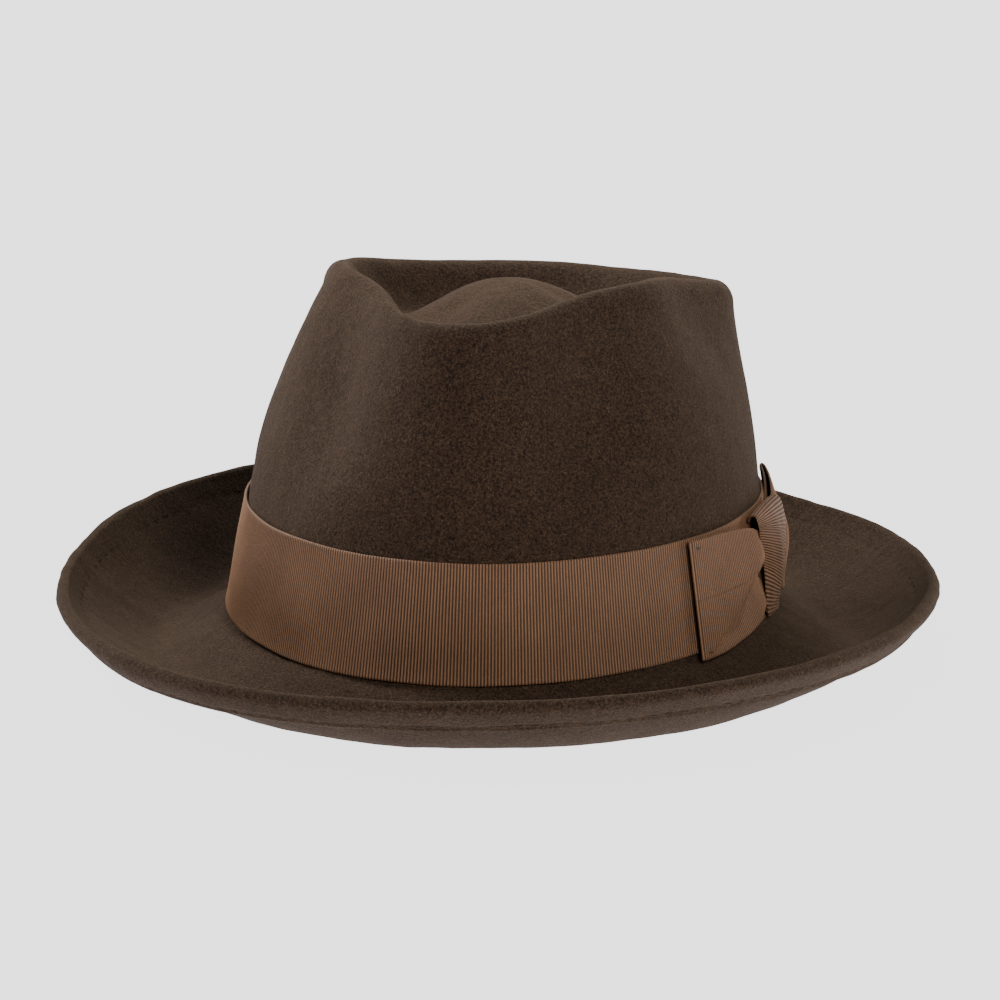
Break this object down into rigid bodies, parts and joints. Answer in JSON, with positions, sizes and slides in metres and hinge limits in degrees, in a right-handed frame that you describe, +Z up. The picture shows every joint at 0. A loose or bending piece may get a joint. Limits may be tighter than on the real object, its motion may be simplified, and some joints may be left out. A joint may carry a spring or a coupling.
{
  "type": "fedora hat",
  "caption": "Teardrop-crown felt fedora with a short upturned welted brim, grosgrain ribbon and flat side bow, leather sweatband and satin lining.",
  "frame": {"origin": "centre of the bounding box's bottom face: the level of the lowest felt, under the middle of the head oval", "axes": "+Z up through the crown, -Y the front of the hat, +X the wearer's left, where the bow sits"},
  "size_m": [0.2768, 0.3206, 0.1244],
  "materials": {
    "felt": "dark brown wool felt, soft matt nap",
    "ribbon": "brown ribbed grosgrain ribbon",
    "thread": "brown sewing thread",
    "leather": "smooth tan-brown sweatband leather",
    "reed": "springy extruded cord",
    "tape": "thin cotton tape",
    "satin": "brown satin lining",
    "label": "blank woven label"
  },
  "bodies": {
    "root": {"felt_body": "felt", "welt_stitching": "thread", "ribbon_band": "ribbon", "bow_front_wing": "ribbon", "bow_rear_wing": "ribbon", "bow_knot": "ribbon", "bow_tack_top": "thread", "bow_tack_bottom": "thread", "sweatband": "leather", "sweatband_reed": "reed", "reed_tape": "tape", "sweatband_stitching": "thread", "sweatband_seam_tape": "tape", "lining_side": "satin", "lining_tip": "satin", "size_label": "label"}
  },
  "joints": []
}
